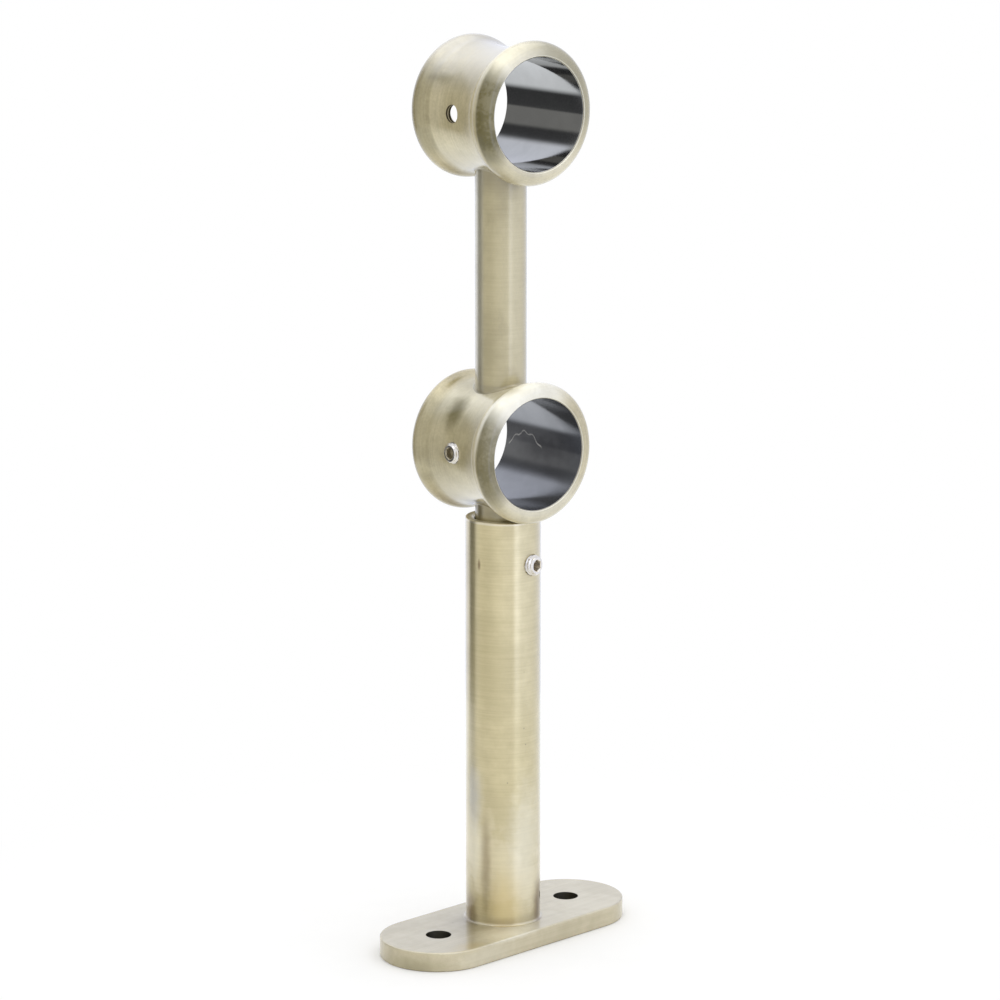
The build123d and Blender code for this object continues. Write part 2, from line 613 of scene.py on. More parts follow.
@dataclass(frozen=True)
class Spot:
    """A soft spot of another colour: on the tube and the plate a mark that the brazing heat or a cloth left, on the
    rings and in the lower bore a painted shade.

    Args:
        centre: Its middle.
        reach: How far it goes along X, Y and Z.
        colour: Its colour.
        strength: How much of that colour shows.
        ragged: How uneven its edge is, in reaches.
    """

    centre: Triple
    reach: Triple
    colour: Colour
    strength: float
    ragged: float = 0.45


@dataclass
class BrassPiece:
    """One CAD node in aged brass.

    Args:
        node: The CAD node's name.
        axis: The axis that it was turned or drawn along.
        centre: A point on that axis.
        grain: How its brush lines run.
        bore: Radius of a dark bore on that axis, or 0.
        stains_and_shade: Bands of dark stain, and bands of painted shade where a rod meets a ring.
        bright: Bands that were rubbed bright.
        painted_light_patches: Stretches of one side painted in another colour: painted highlights, painted reflections
            and painted shade.
        spots: Soft spots of another colour.
        bore_spots: Soft spots of another colour that only the bore's wall has.
        scuff: Low and high end, along the bore, of a scratch on its wall, or nothing.
        holes_apart: Distance between two plain holes on X whose walls are shown near black, or 0.
        seed: Moves the patterns, so that pieces differ.
        finish: The brass.
    """

    node: str
    axis: Triple
    centre: Triple
    grain: Grain = Grain.ROUND
    bore: float = 0.0
    stains_and_shade: tuple[Band, ...] = ()
    bright: tuple[Band, ...] = ()
    painted_light_patches: tuple[Patch, ...] = ()
    spots: tuple[Spot, ...] = ()
    bore_spots: tuple[Spot, ...] = ()
    scuff: tuple[float, float] | None = None
    holes_apart: float = 0.0
    seed: float = 0.0
    finish: AgedBrass = field(default_factory=AgedBrass)

    def dress(self) -> None:
        """Gives the CAD node its material and logs it."""
        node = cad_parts[self.node]
        material = BrassPaint(self).material()
        if not node.material_slots:
            node.data.materials.append(material)
        for slot in node.material_slots:
            slot.material = material
        LOG.info("%s: aged brass, brushed %s", self.node, self.grain.value)


class BrassPaint:
    """The nodes of one brass piece's own material, made of the shared effects with the piece's values."""

    EDGE = 0.04  # how softly a band's ends fade
    PITS, SPECKS = (4.2, 0.055, 0.22), (1.1, 0.09, 0.12)  # spacing, size and share, on brass and in a bore
    UNEVEN, LINES_ROUGH = 0.03, 0.16  # how much the clouds and the brush lines change the roughness
    LINE_HEIGHT, PIT_DEPTH = 0.5, 1.2  # in reliefs

    def __init__(self, piece: BrassPiece) -> None:
        """Starts the material, with the places and masks that all its parts use.

        Args:
            piece: The piece.
        """
        self.piece, self.finish = piece, piece.finish
        self.made, self.g, self.shader = new_material(f"aged brass, {piece.node}")
        self.place = self.g.place()
        turn = self.g.use(EFFECTS.turned_place, Place=self.place, Centre=piece.centre, Axis=piece.axis)
        self.along, self.radius, self.out = turn["Along"], turn["Radius"], turn["Out"]
        self.moved = self.g.vector("ADD", self.place, (piece.seed * 100.0, piece.seed * 70.0, 0.0))
        self.cloud = self.clouds(piece.finish.cloud_size)
        self.pit = self.pits(*self.PITS)

    def clouds(self, size: float) -> Socket:
        """Uneven toning of this size."""
        return self.g.use(EFFECTS.clouds, Place=self.moved, Size=size)[0]

    def pits(self, spacing: float, size: float, share: float) -> Socket:
        """Small scattered marks, whose size is counted in spacings."""
        return self.g.use(EFFECTS.pits, Place=self.moved, Spacing=spacing, Size=size, Share=share)[0]

    def band(self, value: Socket, low: float, high: float, soft: float = EDGE) -> Socket:
        """1 where this value is between low and high."""
        return self.g.use(EFFECTS.band, Value=value, Low=low, High=high, Soft=soft)[0]

    def spotted(self, colour: Value, spots: tuple[Spot, ...]) -> Value:
        """Lays spots over a colour.

        Args:
            colour: The colour.
            spots: The spots.

        Returns:
            The colour with them.
        """
        for spot in spots:
            values = {"Centre": spot.centre, "Reach": spot.reach, "Ragged": spot.ragged}
            mask = self.g.use(EFFECTS.smudge, Place=self.place, **values)[0]
            colour = self.g.lay(colour, spot.colour, mask, spot.strength)
        return colour

    def brushed(self) -> tuple[Socket, Socket, Value]:
        """The brush lines.

        Returns:
            The lines of all widths, the fine ones alone, and the direction of the stroke.
        """
        g, piece = self.g, self.piece
        if piece.grain is Grain.ROUND:
            slow, axis = g.vector("SCALE", self.out, 1.3), piece.axis
            across, deep = g.plus(self.along, piece.seed * 50.0), self.radius
            stroke = g.vector("CROSS_PRODUCT", axis, g.vector("SUBTRACT", self.place, piece.centre))
        else:
            slow, axis = g.vector("MULTIPLY", self.place, (0.03, 0.0, 0.0)), (0.0, 1.0, 0.0)
            _, across, deep = g.parts(self.place)
            stroke = (1.0, 0.0, 0.0)
        values = {"Slow": slow, "Axis": axis, "Across": across, "Deep": deep, "Density": self.finish.lines}
        lines = g.use(EFFECTS.brush_lines, **values)
        return lines["Streaks"], lines["Fine"], stroke

    def coloured(self, streaks: Socket) -> Value:
        """The brushed brass's colour: its toning, and over it bands, painted light on one side, pits and spots.

        Args:
            streaks: The brush lines.

        Returns:
            The colour.
        """
        f, g, piece = self.finish, self.g, self.piece
        tone = g.plus(g.times(self.cloud, 0.5), g.times(g.ramp(streaks, 0.3, 0.7), 0.5))
        sand = g.ramp(g.noise(self.moved, f.sand_per_mm), *Groups.NOISE_SPAN)
        colour = g.blend(g.between(f.mottle, tone, sand), f.toned, f.relieved)
        # each kind's tint, the range of clouds that it follows and what is left of it at that range's low end
        kinds = ((piece.stains_and_shade, f.stain, -0.6, 0.7, 0.3), (piece.bright, POLISHED, 0.1, 0.6, 0.35))
        for bands, tint, low, high, least in kinds:
            for band in bands:
                mask = self.band(self.along, band.low, band.high, band.soft)
                colour = g.lay(colour, tint, mask, g.ramp(self.cloud, low, high, least, 1.0), band.strength)
        # one-sided patches: painted highlights, painted reflections and painted shade, broken up by soft flecks
        if piece.painted_light_patches:
            flecks = g.ramp(self.clouds(f.fleck_size), 0.0, 1.0, 0.84, 1.0)
        for patch in piece.painted_light_patches:
            side = g.ramp(g.vector("DOT_PRODUCT", self.out, patch.out), patch.reach, patch.full)
            mask = self.band(self.along, patch.low, patch.high, patch.soft)
            colour = g.lay(colour, patch.colour, mask, side, flecks, patch.strength)
        return self.spotted(g.lay(colour, f.stain, self.pit, 0.75), piece.spots)

    def bored(self, colour: Value) -> tuple[Socket, Socket]:
        """The dark skin on the bore's wall, and round the bore's edge a dark line and a pale line of painted
        highlight.

        Args:
            colour: The piece's colour elsewhere.

        Returns:
            The colour with both, and a mask that is 1 on the wall.
        """
        f, g, piece = self.finish, self.g, self.piece
        wall = self.band(self.radius, -1.0, piece.bore + 0.03)
        skin = g.blend(self.cloud, f.oxide, tuple(c * 1.12 for c in f.oxide))
        skin = self.spotted(g.lay(skin, SPECK, self.pits(*self.SPECKS), 0.5), piece.bore_spots)
        if piece.scuff:
            skin = g.lay(skin, SCRATCHED, self.scratch(*piece.scuff), 0.55)
        colour = g.blend(wall, colour, skin)
        # round the edge: a dark line, then a pale line that is a painted highlight on the edge's rounding
        for low, high, tint in ((0.05, 0.14, f.stain), (0.2, 0.34, RUBBED_AND_HIGHLIGHT)):
            colour = g.lay(colour, tint, self.band(self.radius, piece.bore + low, piece.bore + high), 0.6)
        return colour, wall

    def scratch(self, low: float, high: float) -> Socket:
        """A mask of a thin wandering scratch on the bore's wall.

        It lies where the height over the bore's middle is near two sines of the distance along it, added up.

        Args:
            low: Where it starts along the bore.
            high: Where it ends.

        Returns:
            The mask.
        """
        g, along = self.g, self.along
        fade, below, core, edge = 0.6, 3.2, 0.05, 0.28
        waves = ((0.235, 3.8), (1.9, 0.35))  # radians per millimetre, and how high the wave goes
        height = g.minus(g.parts(self.place)[2], self.piece.centre[2])
        wave, jog = (g.times(g.math("SINE", g.times(along, often)), tall) for often, tall in waves)
        off = g.math("ABSOLUTE", g.minus(height, g.minus(g.plus(wave, jog), below)))
        ends = g.times(g.ramp(along, low, low + fade), g.ramp(along, high - fade, high, 1.0, 0.0))
        return g.times(g.ramp(off, core, edge, 1.0, 0.0), ends)

    def hole_wall(self) -> Socket:
        """1 on the walls of the two plain holes, where the distance from the nearer hole's axis is small.

        Returns:
            The mask.
        """
        g, hole = self.g, LAYOUT.fixing_hole
        x, y, _ = g.parts(self.place)
        x = g.minus(g.math("ABSOLUTE", x), self.piece.holes_apart / 2)
        distance = g.math("SQRT", g.plus(g.times(x, x), g.times(y, y)))
        return g.ramp(distance, hole + 0.02, hole + 0.12, 1.0, 0.0)

    def material(self) -> Material:
        """Joins the colour, roughness, lacquer and relief to the shader.

        Returns:
            The finished material.
        """
        f, g, cloud = self.finish, self.g, self.cloud
        streaks, fine, stroke = self.brushed()
        colour = self.coloured(streaks)
        uneven = g.ramp(cloud, 0.0, 1.0, f.roughness + self.UNEVEN, f.roughness - self.UNEVEN)
        rough = g.plus(g.times(g.minus(streaks, 0.5), self.LINES_ROUGH), uneven)
        height = g.minus(g.times(fine, self.LINE_HEIGHT), g.times(self.pit, self.PIT_DEPTH))
        coat: Value = 1.0
        if self.piece.bore:
            colour, wall = self.bored(colour)
            coat = g.minus(1.0, wall)
            rough = g.between(wall, rough, f.bore_roughness)
            height = g.times(height, coat)
        if self.piece.holes_apart:
            hole = self.hole_wall()
            # the walls of the plain holes are shown near black and without lacquer
            colour, coat = g.blend(hole, colour, HOLE_WALL_DARK), g.minus(1.0, hole)
        normal = g.node("ShaderNodeNewGeometry").outputs["Normal"]
        tangent = g.vector("NORMALIZE", g.vector("CROSS_PRODUCT", normal, stroke))
        values = {"Base Color": colour, "Roughness": rough, "Metallic": 1.0, "Anisotropic": f.anisotropy}
        coating = {"Coat Weight": coat, "Coat IOR": f.lacquer_index, "Coat Roughness": f.lacquer_roughness}
        g.fill(self.shader, {**values, **coating, "Tangent": tangent})
        g.bump(self.shader, height, f.relief_shown, f.relief)
        return self.made


@dataclass(frozen=True)
class BrightNickel:
    """Nickel plate on a turned screw, with soft clouds, fine specks and slight unevenness.

    Args:
        plate: Colour of the plate.
        tarnish: Colour of its tarnish, laid in soft clouds and fine specks.
        roughness: Roughness in the middle of its range.
    """

    plate: Colour = (0.71, 0.67, 0.59)
    tarnish: Colour = (0.36, 0.33, 0.27)
    roughness: float = 0.2

    def material(self, name: str) -> Material:
        """The plate as a material.

        Args:
            name: The material's name.

        Returns:
            The material.
        """
        material, g, shader = new_material(name)
        place = g.place()
        cloud = g.use(EFFECTS.clouds, Place=place, Size=2.2)[0]
        pits = g.use(EFFECTS.pits, Place=place, Spacing=0.7, Size=0.12, Share=0.25)[0]
        mark = g.math("MAXIMUM", g.times(cloud, 0.25), g.times(pits, 0.6))
        rough = g.ramp(cloud, 0.0, 1.0, self.roughness - 0.05, self.roughness + 0.09)
        g.fill(shader, {"Base Color": g.blend(mark, self.plate, self.tarnish), "Roughness": rough, "Metallic": 1.0})
        g.bump(shader, g.minus(cloud, pits), strength=0.2, depth=0.02)
        return material


@dataclass(frozen=True)
class CutThread:
    """Dark unlacquered brass in the tapped hole, dark enough to be also the hole's painted shadow.

    Args:
        skin: Colour of the skin that the cut thread took on, which is also the painted shadow inside the hole.
        cut: Colour where its crests were rubbed.
        roughness: Roughness in the middle of its range.
        crest: Radius of the thread's crests.
        flank: How far from them the rubbed colour fades out.
    """

    # the skin is partly oxide and partly painted shadow in the hole
    skin: Colour = (0.085, 0.07, 0.04)
    cut: Colour = (0.40, 0.34, 0.21)
    roughness: float = 0.4
    crest: float = 2.07
    flank: float = 0.12

    def material(self, stand: Stand) -> Material:
        """The sleeve's material: dark skin with painted shadow, rubbed pale on the crests.

        Args:
            stand: The place whose axis the crests lie nearest to.

        Returns:
            The material.
        """
        material, g, shader = new_material("cut thread")
        place = g.place()
        cloud = g.use(EFFECTS.clouds, Place=place, Size=1.6)[0]
        centre, axis = (tuple(float(c) for c in v) for v in (stand.point, stand.out))
        radius = g.use(EFFECTS.turned_place, Place=place, Centre=centre, Axis=axis)["Radius"]
        rubbed = g.ramp(radius, self.crest, self.crest + self.flank, 1.0, 0.0)
        rough = g.ramp(cloud, 0.0, 1.0, self.roughness - 0.08, self.roughness + 0.08)
        g.fill(shader, {"Base Color": g.blend(rubbed, self.skin, self.cut), "Roughness": rough, "Metallic": 1.0})
        return material


# New pieces


def thread_wave(along: np.ndarray, angle: np.ndarray) -> np.ndarray:
    """A thread's wave, from 0 to 1: how far twice the fraction of along / pitch - angle / full turn is from 1."""
    return np.abs((along / LAYOUT.thread_pitch - angle / FULL_TURN) % 1.0 * 2 - 1)


@dataclass
class SetScrew:
    """A hexagon socket set screw with a cup point and a cut thread. It replaces the CAD's plain one.

    Args:
        name: The piece's name.
        node: The CAD node that it stands for.
        body: The body that it rides on.
        stand: Its place, with the origin in its outer face.
        length: Its length.
        crest: Radius of the thread's crests.
        root: Radius of the thread's roots.
        chamfer: Chamfer at both ends.
        socket_flats: Width of the socket across its flats.
        socket_wall: What is left between the socket and the cup.
        cup_radius: Radius of the cup.
        cup_depth: Its depth.
    """

    name: str
    node: str
    body: Body
    stand: Stand
    length: float
    crest: float = 2.48
    root: float = 2.05
    chamfer: float = 0.5
    socket_flats: float = 2.5
    socket_wall: float = 0.5
    cup_radius: float = 1.2
    cup_depth: float = 0.6
    columns: int = 96
    rows_per_pitch: int = 12

    def build(self, material: Material, socket: Material) -> bpy.types.Object:
        """The finished screw, riding on its body.

        The surface is one profile carried round the axis: in from the cup's centre to its rim, over the tip's
        chamfer, out along the thread, over the outer chamfer, across the face and down the socket. Each row has
        a base radius and a place along the axis. The radius of a point is that base less the thread's depth times
        a rounded thread wave, or in the socket the distance to a hexagon.

        Args:
            material: The finish.
            socket: The finish inside the socket, which paints the light and shade there.

        Returns:
            The screw.
        """
        angle = np.linspace(0, FULL_TURN, self.columns, endpoint=False)
        tip, flank, flat = -self.length, self.crest - self.chamfer, self.socket_flats / 2
        rows = int(self.rows_per_pitch * (self.length - 2 * self.chamfer) / LAYOUT.thread_pitch) + 2
        floor = tip + self.cup_depth + self.socket_wall
        # base radius, place along the axis, share of thread, share of hexagon
        in_socket = [
            (flat * 1.18, 0, 0, 0.25),
            (flat * 1.1, -0.06, 0, 0.7),
            (flat, -0.2, 0, 1),
            (flat, floor + 0.15, 0, 1),
            (flat * 0.92, floor, 0, 1),
            (flat * 0.5, floor - 0.12, 0, 0.6),
        ]
        profile = [
            (0.25, tip + self.cup_depth * 0.8, 0, 0),
            (self.cup_radius * 0.6, tip + self.cup_depth * 0.42, 0, 0),
            (self.cup_radius, tip, 0, 0),
            (self.cup_radius + 0.12, tip, 0, 0),
            (flank - 0.1, tip, 0, 0),
            (flank, tip + 0.04, 0, 0),
            (self.crest - self.chamfer * 0.45, tip + self.chamfer * 0.55, 0.35, 0),
            *((self.crest, along, 1, 0) for along in np.linspace(tip + self.chamfer, -self.chamfer, rows)),
            (self.crest - self.chamfer * 0.45, -self.chamfer * 0.55, 0.35, 0),
            (flank, -0.05, 0, 0),
            (flank - 0.06, 0, 0, 0),
            (flat * 1.3, 0, 0, 0),
            *in_socket,
        ]
        base, along, cut, hexed = (column[:, None] for column in np.array(profile).T)
        tooth = np.clip(thread_wave(along, angle) * 1.25 - 0.1, 0, 1)
        sector = FULL_TURN / 6
        hexagon = flat / np.cos((angle + sector / 2) % sector - sector / 2)
        radius = base - cut * (self.crest - self.root) * tooth + hexed * (hexagon - flat)
        start = self.stand.point + (tip + self.cup_depth) * self.stand.out
        end = self.stand.point + (floor - 0.2) * self.stand.out
        points, faces = capped_grid(self.stand.place(radius, angle, along), start, end)
        # the socket's faces get the second finish, which paints their light and shade
        strips = slice((len(profile) - len(in_socket)) * self.columns, (len(profile) - 1) * self.columns)
        second = (strips, slice(-self.columns, None))
        screw = mesh_piece(self.name, points, faces, [material, socket], second, smooth_angle=28)
        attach(screw, self.body.value)
        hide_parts(self.node)
        LOG.info("%s: %d faces, rides on %s", self.name, len(faces), self.body.value)
        return screw


@dataclass
class TappedHole:
    """The cut thread inside the upper ring's empty hole.

    Args:
        stand: Its place, on the carrier's axis and facing out of the hole.
        outer: Radius of its outer wall, just inside the hole's.
        root: Radius of the thread's roots.
        crest: Radius of the thread's crests.
        inset: How far both its ends stay inside the ring's walls.
    """

    stand: Stand
    outer: float = 2.54
    root: float = 2.5
    crest: float = 2.06
    inset: float = 0.02
    columns: int = 96
    rows: int = 30

    def build(self, material: Material, brushed: Material) -> bpy.types.Object:
        """The finished sleeve, riding on the carrier.

        Its inner wall is a rounded thread wave between crest and root, which fades out at both mouths. Both its
        ends follow the ring's walls: at height h from the hole's axis, a wall of radius R is at the square root of
        R squared less h squared from the carrier's axis. The waist's R grows along the ring as its hollow's arc.

        Args:
            material: The finish of the thread.
            brushed: The ring's own finish, for the sleeve's outer end, which is flush with the waist.

        Returns:
            The sleeve.
        """
        angle = np.linspace(0, FULL_TURN, self.columns, endpoint=False)
        share = np.linspace(0, 1, self.rows)
        share = np.concatenate([share, share[::-1]])[:, None]
        inside = (np.arange(2 * self.rows) < self.rows)[:, None]
        wave = thread_wave(LAYOUT.bore + (LAYOUT.waist - LAYOUT.bore) * share, angle)
        tooth = np.clip(wave * 1.3 - 0.12, 0, 1)
        mouth = np.clip(1 - np.minimum(share, 1 - share) * 9, 0, 1)
        cut = self.crest + (self.root - self.crest) * np.maximum(tooth * (1 - mouth), 0.2 * mouth)
        radius = np.where(inside, cut, self.outer)
        height = radius * np.sin(angle)
        hollow = LAYOUT.waist_round - np.sqrt(LAYOUT.waist_round**2 - (radius * np.cos(angle)) ** 2)
        low = np.sqrt((LAYOUT.bore + self.inset) ** 2 - height**2)
        high = np.sqrt((LAYOUT.waist + hollow - self.inset) ** 2 - height**2)
        points = self.stand.place(radius, angle, low + (high - low) * share).reshape(-1, 3)
        faces = grid_faces(2 * self.rows, self.columns, closed_rows=True)[:, ::-1].tolist()
        end = slice((self.rows - 1) * self.columns, self.rows * self.columns)
        sleeve = mesh_piece("upper_ring_thread", points, faces, [material, brushed], (end,), smooth_angle=40)
        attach(sleeve, Body.CARRIER.value)
        LOG.info("upper_ring_thread: %d faces, rides on %s", len(faces), Body.CARRIER.value)
        return sleeve


# Studio

# FRONT and RIGHT are the photograph's directions. The walls' tones are listed by angle from FRONT, in degrees, plus
# to the right, each with how much bluer than the brass's own light it is there. An edge is the range of heights of a
# direction, from -1 to 1, in which one tone turns into the next.
VIEW_TURN = -44.736
FRONT: Triple = (float(np.sin(np.radians(VIEW_TURN))), -float(np.cos(np.radians(VIEW_TURN))), 0.0)
RIGHT: Triple = (-FRONT[1], FRONT[0], 0.0)
WALL_TONES = (
    (-180, 0.98, 0.22), (-150, 1.0, 0.2), (-128, 1.0, 0.15), (-118, 0.07, 0.1), (-98, 0.06, 0.1), (-90, 0.94, 0.05),
    (-72, 0.92, 0.0), (-60, 0.86, 0.0), (-45, 0.9, 0.03), (-20, 1.12, 0.08), (0, 1.22, 0.14), (20, 1.17, 0.18),
    (32, 1.08, 0.2), (37, 1.82, 0.34), (46, 1.82, 0.38), (54, 1.36, 0.34), (80, 1.32, 0.3), (110, 1.1, 0.22),
    (140, 1.0, 0.2), (180, 0.98, 0.22),
)
CEILING_TONE: Colour = (1.02, 1.07, 1.22)
TABLE_TONE: Colour = (1.16, 1.2, 1.28)
PANE_TONE: Colour = (0.30, 0.30, 0.30)
CEILING_EDGE, TABLE_EDGE = (0.58, 0.65), (-0.50, -0.38)
PANE_FOOT, PANE_TOP = (-0.05, 0.0), (0.33, 0.42)
ROOM_LIGHT: Colour = (0.95, 0.95, 0.95)


@dataclass
class Studio:
    """Floor, room, light and camera. Nothing here is part of the bracket.

    Args:
        lens: Focal length of the camera.
        distance: How far the camera is from what it looks at.
        pitch: How far it looks down, in degrees.
        aim_height: Height of what it looks at.
        aim_right: How far that lies to the right of the tube's axis.
        floor_rings: Radii of the floor's rings of points.
        fade_from: Where the floor starts to turn white.
        fade_to: Where it is white.
        floor_colour: Its colour.
        lamp_at: The middle of the lamp.
        lamp_aim: What the lamp faces.
        lamp_size: The lamp's sides.
        lamp_power: Its power in watts.
    """

    lens: float = 145.0
    distance: float = 955.716
    pitch: float = 12.031
    aim_height: float = 107.605
    aim_right: float = -0.736
    floor_rings: tuple[float, ...] = (20.0, 60.0, 100.0, 150.0, 230.0)
    fade_from: float = 60.0
    fade_to: float = 150.0
    floor_colour: Colour = (0.9, 0.9, 0.9)
    lamp_at: Triple = (80.0, -60.0, 900.0)
    lamp_aim: Triple = (0.0, 0.0, 120.0)
    lamp_size: float = 1000.0
    lamp_power: float = 2.8

    def build(self) -> None:
        """Makes the whole studio."""
        self._camera()
        self._room()
        self._floor()
        self._lamp()
        LOG.info("studio: camera, room, floor and one softbox")

    def _camera(self) -> None:
        """The photograph's viewpoint: a direction and a distance from a point by the bracket's middle."""
        pitch = np.radians(self.pitch)
        back = Vector(FRONT) * float(np.cos(pitch)) + Vector(UP) * float(np.sin(pitch))
        aim = Vector(UP) * self.aim_height + Vector(RIGHT) * self.aim_right
        camera = bpy.data.objects.new("camera", bpy.data.cameras.new("camera"))
        bpy.context.scene.collection.objects.link(camera)
        camera.data.lens, camera.data.sensor_width = self.lens, 36.0
        camera.data.clip_start, camera.data.clip_end = 0.01, 50.0
        camera.location = (aim + back * self.distance) * MM
        camera.rotation_euler = (-back).to_track_quat("-Z", "Y").to_euler()
        bpy.context.scene.camera = camera

    @staticmethod
    def _seen(g: Graph) -> tuple[Socket, Socket]:
        """Where a ray comes from.

        Args:
            g: The graph to write into.

        Returns:
            1 for a ray from the camera, and 1 for one from a glossy or clear surface.
        """
        path = g.node("ShaderNodeLightPath").outputs
        return path["Is Camera Ray"], g.math("MAXIMUM", path["Is Glossy Ray"], path["Is Transmission Ray"])

    @staticmethod
    def _tones(g: Graph, direction: Socket) -> Socket:
        """How light the room is in each direction: pale walls with a few darker gaps, and a bright ceiling.

        The direction's angle round Z is counted from FRONT, and read off a row of tones. Its height then brightens
        what is dark in a low pane, and mixes in the table's tone below and the ceiling's above.

        Args:
            g: The room's graph.
            direction: The direction.

        Returns:
            The colour there.
        """
        right, front = (g.vector("DOT_PRODUCT", direction, axis) for axis in (RIGHT, FRONT))
        turn = g.math("DIVIDE", g.math("ARCTAN2", right, front), FULL_TURN)
        walls = g.node("ShaderNodeValToRGB", (g.plus(turn, 0.5),))
        steps = walls.color_ramp.elements
        while len(steps) < len(WALL_TONES):
            steps.new(0.5)
        for step, (angle, tone, blue) in zip(steps, WALL_TONES):
            step.position = angle / 360 + 0.5
            step.color = (tone, tone * (1 + 0.2 * blue), tone * (1 + blue), 1.0)
        height = g.parts(g.vector("NORMALIZE", direction))[2]
        pane = g.times(g.ramp(height, *PANE_FOOT), g.ramp(height, *PANE_TOP, 1.0, 0.0))
        tone = g.blend(pane, walls.outputs[0], PANE_TONE, how="LIGHTEN")
        tone = g.blend(g.ramp(height, *TABLE_EDGE, 1.0, 0.0), tone, TABLE_TONE)
        return g.blend(g.ramp(height, *CEILING_EDGE), tone, CEILING_TONE)

    def _room(self) -> None:
        """The world: white to the camera, the studio's tones to metal, and plain light to all else."""
        world = bpy.data.worlds.new("room")
        bpy.context.scene.world = world
        world.use_nodes = True
        world.node_tree.nodes.clear()
        g = Graph(world.node_tree)
        camera, mirrored = self._seen(g)
        tone = self._tones(g, g.node("ShaderNodeTexCoord").outputs["Generated"])
        colour = g.blend(camera, g.blend(mirrored, ROOM_LIGHT, tone), WHITE)
        background = g.node("ShaderNodeBackground", {"Color": colour})
        g.node("ShaderNodeOutputWorld", {"Surface": background.outputs[0]})

    def _floor(self) -> None:
        """A round pale floor that turns into the white background away from the bracket.

        Its points are rings of radius r times the cosine and sine of the angle, just under the wall plate.
        """
        low, columns, rows = -0.02, 96, len(self.floor_rings)
        angle = np.linspace(0, FULL_TURN, columns, endpoint=False)
        radius = np.array(self.floor_rings)[:, None]
        grid = [radius * np.cos(angle), radius * np.sin(angle), np.full((rows, columns), low)]
        points = np.vstack([np.stack(grid, axis=-1).reshape(-1, 3), (0.0, 0.0, low)])
        faces = grid_faces(rows, columns, closed_rows=False)[:, ::-1].tolist()
        material, g, shader = new_material("pale floor")
        floor = mesh_piece("floor", points, faces + fan(np.arange(columns), rows * columns), [material])
        place = g.place()
        cloud = g.use(EFFECTS.clouds, Place=place, Size=40.0)[0]
        colour = g.blend(cloud, self.floor_colour, tuple(c * 0.985 for c in self.floor_colour))
        g.fill(shader, {"Base Color": colour, "Roughness": 0.9, "Specular IOR Level": 0.2})
        camera, mirrored = self._seen(g)
        glow = g.node("ShaderNodeEmission", {"Color": g.blend(camera, TABLE_TONE, WHITE)})
        far = g.ramp(g.vector("LENGTH", place), self.fade_from, self.fade_to)
        share = g.times(far, g.math("MAXIMUM", camera, mirrored))
        mixed = g.node("ShaderNodeMixShader", (share, shader.outputs[0], glow.outputs[0]))
        output = next(n for n in material.node_tree.nodes if n.type == "OUTPUT_MATERIAL")
        g.feed(output.inputs["Surface"], mixed.outputs[0])

    def _lamp(self) -> None:
        """A square soft lamp overhead."""
        data = bpy.data.lights.new("overhead softbox", "AREA")
        data.shape, data.size, data.energy = "SQUARE", self.lamp_size * MM, self.lamp_power
        lamp = bpy.data.objects.new("overhead softbox", data)
        bpy.context.scene.collection.objects.link(lamp)
        at, aim = Vector(self.lamp_at), Vector(self.lamp_aim)
        lamp.location = at * MM
        lamp.rotation_euler = (aim - at).to_track_quat("-Z", "Y").to_euler()


# The bracket


